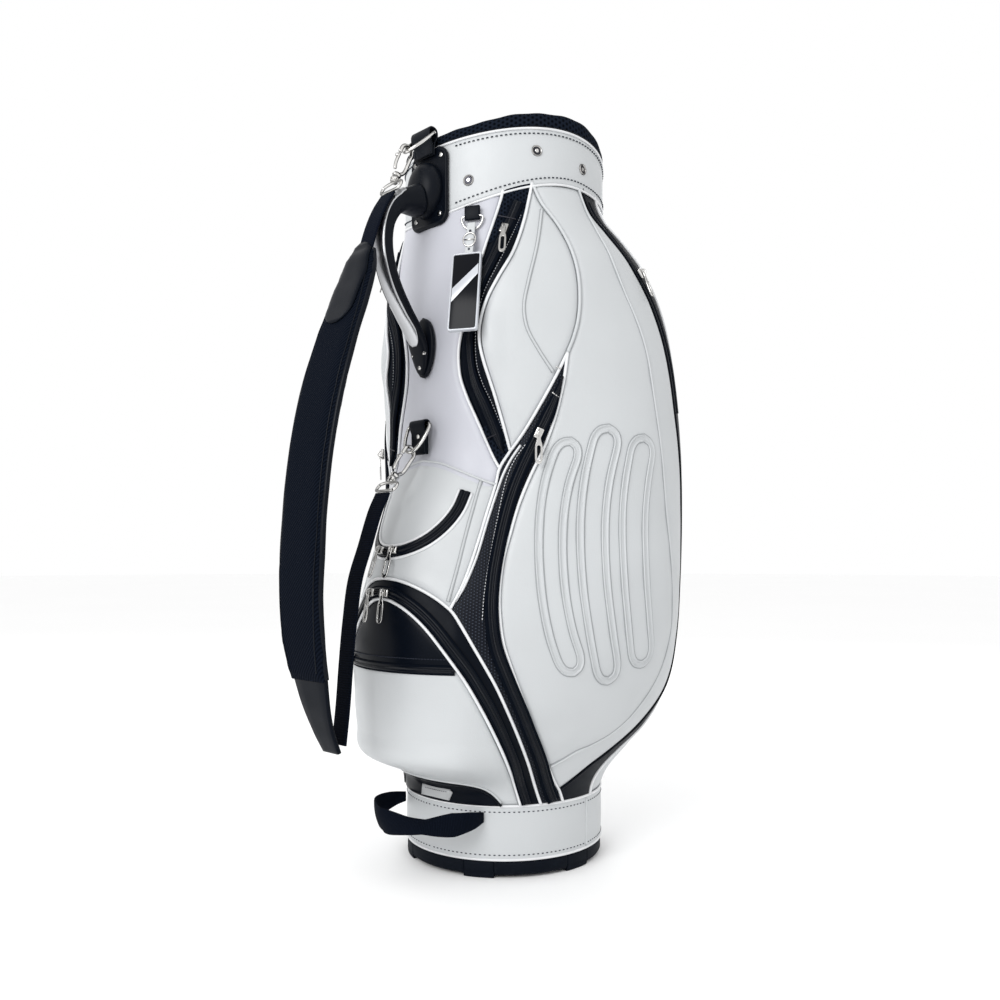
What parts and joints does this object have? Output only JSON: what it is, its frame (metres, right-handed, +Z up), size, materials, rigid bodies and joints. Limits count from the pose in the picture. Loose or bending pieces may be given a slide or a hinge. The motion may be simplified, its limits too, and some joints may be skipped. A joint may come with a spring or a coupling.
{
  "type": "golf bag",
  "caption": "Padded golf club bag with moulded handle, clip-on shoulder strap, divided mouth, zipped garment, ball and valuables pockets, towel ring and rubber foot.",
  "frame": {"origin": "middle of the base's underside, on the axis of the tube, on the floor", "axes": "+Z up along the tube; -Y towards the spine with the handle, the strap and the ball pocket; +X towards the garment pocket on the right of somebody who faces the spine"},
  "size_m": [0.3944, 0.4584, 0.875],
  "materials": {
    "base_rubber": "matt moulded rubber",
    "white_leather": "smooth white synthetic leather with a fine grain",
    "black_leather": "glossy near-black synthetic leather",
    "lining": "dark woven lining",
    "mesh_padding": "near-black open air-mesh over foam",
    "divider_fleece": "near-black brushed fleece",
    "zip_tape": "near-black woven tape with dark coil teeth",
    "webbing": "near-black ribbed webbing",
    "handle_moulding": "near-black moulded soft-touch plastic",
    "satin_inlay": "satin silver",
    "tag_gloss": "glossy near-black with a silver edge",
    "nickel": "polished nickel plate"
  },
  "bodies": {
    "bag": {"back_panel": "black_leather", "ball_pocket": "white_leather", "base_band": "white_leather", "base_cup": "base_rubber", "collar_band": "white_leather", "divider": "divider_fleece", "front_pocket": "white_leather", "handle_bracket": "handle_moulding", "handle_grip": "handle_moulding", "handle_inlay": "satin_inlay", "inner_tube": "lining", "side_pocket_left": "white_leather", "side_pocket_right": "white_leather", "spine_panel": "white_leather", "tab_lower": "black_leather", "tab_upper": "black_leather", "top_rim": "mesh_padding", "towel_tab": "black_leather", "zip_ball_pocket": "zip_tape", "zip_front_pocket": "zip_tape", "zip_garment_left": "zip_tape", "zip_garment_right": "zip_tape", "zip_upper_left": "zip_tape", "zip_upper_right": "zip_tape"},
    "slider_garment_right": {"slider_garment_right": "nickel"},
    "pull_garment_right": {"pull_garment_right": "nickel"},
    "slider_upper_right": {"slider_upper_right": "nickel"},
    "pull_upper_right": {"pull_upper_right": "nickel"},
    "slider_rear_right": {"slider_rear_right": "nickel"},
    "pull_rear_right": {"pull_rear_right": "nickel"},
    "slider_ball_right": {"slider_ball_right": "nickel"},
    "pull_ball_right": {"pull_ball_right": "nickel"},
    "slider_front_right": {"slider_front_right": "nickel"},
    "pull_front_right": {"pull_front_right": "nickel"},
    "slider_garment_left": {"slider_garment_left": "nickel"},
    "pull_garment_left": {"pull_garment_left": "nickel"},
    "slider_upper_left": {"slider_upper_left": "nickel"},
    "pull_upper_left": {"pull_upper_left": "nickel"},
    "slider_rear_left": {"slider_rear_left": "nickel"},
    "pull_rear_left": {"pull_rear_left": "nickel"},
    "slider_ball_left": {"slider_ball_left": "nickel"},
    "pull_ball_left": {"pull_ball_left": "nickel"},
    "slider_front_left": {"slider_front_left": "nickel"},
    "pull_front_left": {"pull_front_left": "nickel"},
    "slider_valuables": {"slider_valuables": "nickel"},
    "pull_valuables": {"pull_valuables": "nickel"},
    "ring_upper": {"ring_upper": "nickel"},
    "ring_lower": {"ring_lower": "nickel"},
    "strap": {"strap_leader": "webbing", "strap_pad": "mesh_padding", "strap_tail": "black_leather", "strap_webbing": "webbing", "hook_upper": "nickel", "hook_lower": "nickel"},
    "gate_upper": {"gate_upper": "nickel"},
    "gate_lower": {"gate_lower": "nickel"},
    "towel_ring": {"towel_ring": "nickel"},
    "tag": {"tag_strap": "white_leather", "tag_sleeve": "tag_gloss"},
    "grab_loop": {"grab_loop": "webbing"}
  },
  "joints": [
    {"name": "slide_garment_right", "type": "hinge", "parent": "bag", "child": "slider_garment_right", "pos_m": [0.3672, -0.12822, 0.39179], "axis": [-0.0482, -0.9547, 0.2935], "range_deg": [0, 22]},
    {"name": "pull_garment_right", "type": "hinge", "parent": "slider_garment_right", "child": "pull_garment_right", "pos_m": [0.13866, -0.08898, 0.49955], "axis": [-0.7598, -0.6501, 0], "range_deg": [0, 120]},
    {"name": "slide_upper_right", "type": "hinge", "parent": "bag", "child": "slider_upper_right", "pos_m": [0.05481, 0.06237, 0.64537], "axis": [0.9478, 0.1028, -0.302], "range_deg": [0, 12]},
    {"name": "pull_upper_right", "type": "hinge", "parent": "slider_upper_right", "child": "pull_upper_right", "pos_m": [0.10065, -0.10524, 0.73043], "axis": [-0.8319, -0.5549, 0], "range_deg": [0, 120]},
    {"name": "slide_rear_right", "type": "hinge", "parent": "bag", "child": "slider_rear_right", "pos_m": [0.15346, -0.04796, 0.60519], "axis": [-0.9759, 0.195, -0.0978], "range_deg": [0, 12]},
    {"name": "pull_rear_right", "type": "hinge", "parent": "slider_rear_right", "child": "pull_rear_right", "pos_m": [0.17101, 0.0608, 0.70249], "axis": [0.1367, -0.9906, 0], "range_deg": [0, 120]},
    {"name": "slide_ball_right", "type": "hinge", "parent": "bag", "child": "slider_ball_right", "pos_m": [-0.05077, -0.14971, 0.17902], "axis": [-0.0617, 0.9356, 0.3477], "range_deg": [0, 28]},
    {"name": "pull_ball_right", "type": "hinge", "parent": "slider_ball_right", "child": "pull_ball_right", "pos_m": [0.01208, -0.20513, 0.32536], "axis": [-0.9899, -0.1418, 0], "range_deg": [0, 45]},
    {"name": "slide_front_right", "type": "hinge", "parent": "bag", "child": "slider_front_right", "pos_m": [-0.01061, -0.15121, 0.43659], "axis": [0.221, -0.8285, 0.5146], "range_deg": [0, 55]},
    {"name": "pull_front_right", "type": "hinge", "parent": "slider_front_right", "child": "pull_front_right", "pos_m": [0.01144, -0.1924, 0.37333], "axis": [-0.9886, -0.1507, 0], "range_deg": [0, 40]},
    {"name": "slide_garment_left", "type": "hinge", "parent": "bag", "child": "slider_garment_left", "pos_m": [-0.3672, -0.12822, 0.39179], "axis": [-0.0482, 0.9547, -0.2935], "range_deg": [0, 22]},
    {"name": "pull_garment_left", "type": "hinge", "parent": "slider_garment_left", "child": "pull_garment_left", "pos_m": [-0.13866, -0.08898, 0.49955], "axis": [-0.7598, 0.6501, 0], "range_deg": [0, 120]},
    {"name": "slide_upper_left", "type": "hinge", "parent": "bag", "child": "slider_upper_left", "pos_m": [-0.05481, 0.06237, 0.64537], "axis": [0.9478, -0.1028, 0.302], "range_deg": [0, 24]},
    {"name": "pull_upper_left", "type": "hinge", "parent": "slider_upper_left", "child": "pull_upper_left", "pos_m": [-0.10065, -0.10524, 0.73043], "axis": [-0.8319, 0.5549, 0], "range_deg": [0, 120]},
    {"name": "slide_rear_left", "type": "hinge", "parent": "bag", "child": "slider_rear_left", "pos_m": [-0.15346, -0.04796, 0.60519], "axis": [-0.9759, -0.195, 0.0978], "range_deg": [0, 12]},
    {"name": "pull_rear_left", "type": "hinge", "parent": "slider_rear_left", "child": "pull_rear_left", "pos_m": [-0.17101, 0.0608, 0.70249], "axis": [0.1367, 0.9906, 0], "range_deg": [0, 120]},
    {"name": "slide_ball_left", "type": "hinge", "parent": "bag", "child": "slider_ball_left", "pos_m": [0.05077, -0.14971, 0.17902], "axis": [-0.0617, -0.9356, -0.3477], "range_deg": [0, 28]},
    {"name": "pull_ball_left", "type": "hinge", "parent": "slider_ball_left", "child": "pull_ball_left", "pos_m": [-0.01208, -0.20513, 0.32536], "axis": [-0.9899, 0.1418, 0], "range_deg": [0, 45]},
    {"name": "slide_front_left", "type": "hinge", "parent": "bag", "child": "slider_front_left", "pos_m": [0.01061, -0.15121, 0.43659], "axis": [0.221, 0.8285, -0.5146], "range_deg": [0, 55]},
    {"name": "pull_front_left", "type": "hinge", "parent": "slider_front_left", "child": "pull_front_left", "pos_m": [-0.01144, -0.1924, 0.37333], "axis": [-0.9886, 0.1507, 0], "range_deg": [0, 40]},
    {"name": "slide_valuables", "type": "hinge", "parent": "bag", "child": "slider_valuables", "pos_m": [0, -0.04533, 0.247], "axis": [0, 0, 1], "range_deg": [0, 56]},
    {"name": "pull_valuables", "type": "hinge", "parent": "slider_valuables", "child": "pull_valuables", "pos_m": [-0.07549, -0.18494, 0.24682], "axis": [-0.8832, 0.469, 0], "range_deg": [0, 120]},
    {"name": "strap_swing", "type": "hinge", "parent": "bag", "child": "strap", "pos_m": [0, -0.15964, 0.82574], "axis": [0, -0.0106, 0.9999], "range_deg": [-30, 30]},
    {"name": "ring_upper_tilt", "type": "hinge", "parent": "bag", "child": "ring_upper", "pos_m": [0, -0.133, 0.852], "axis": [1, 0, 0], "range_deg": [-3, 0.5]},
    {"name": "ring_lower_tilt", "type": "hinge", "parent": "bag", "child": "ring_lower", "pos_m": [0, -0.14, 0.517], "axis": [1, 0, 0], "range_deg": [-3, 0.5]},
    {"name": "gate_upper", "type": "hinge", "parent": "strap", "child": "gate_upper", "pos_m": [0, -0.17671, 0.80231], "axis": [-1, 0, 0], "range_deg": [0, 22], "stiffness_Nm_per_rad": 0.02},
    {"name": "gate_lower", "type": "hinge", "parent": "strap", "child": "gate_lower", "pos_m": [0, -0.1779, 0.46413], "axis": [-1, 0, 0], "range_deg": [0, 22], "stiffness_Nm_per_rad": 0.02},
    {"name": "towel_ring_swing", "type": "hinge", "parent": "bag", "child": "towel_ring", "pos_m": [0.06103, -0.11478, 0.749], "axis": [-0.8829, -0.4695, 0], "range_deg": [0, 60]},
    {"name": "tag_swing", "type": "hinge", "parent": "towel_ring", "child": "tag", "pos_m": [0.06103, -0.11478, 0.7375], "axis": [-0.8829, -0.4695, 0], "range_deg": [0, 60]},
    {"name": "grab_loop_flop", "type": "hinge", "parent": "bag", "child": "grab_loop", "pos_m": [0, -0.1045, 0.07], "axis": [1, 0, 0], "range_deg": [-25, 25]}
  ]
}
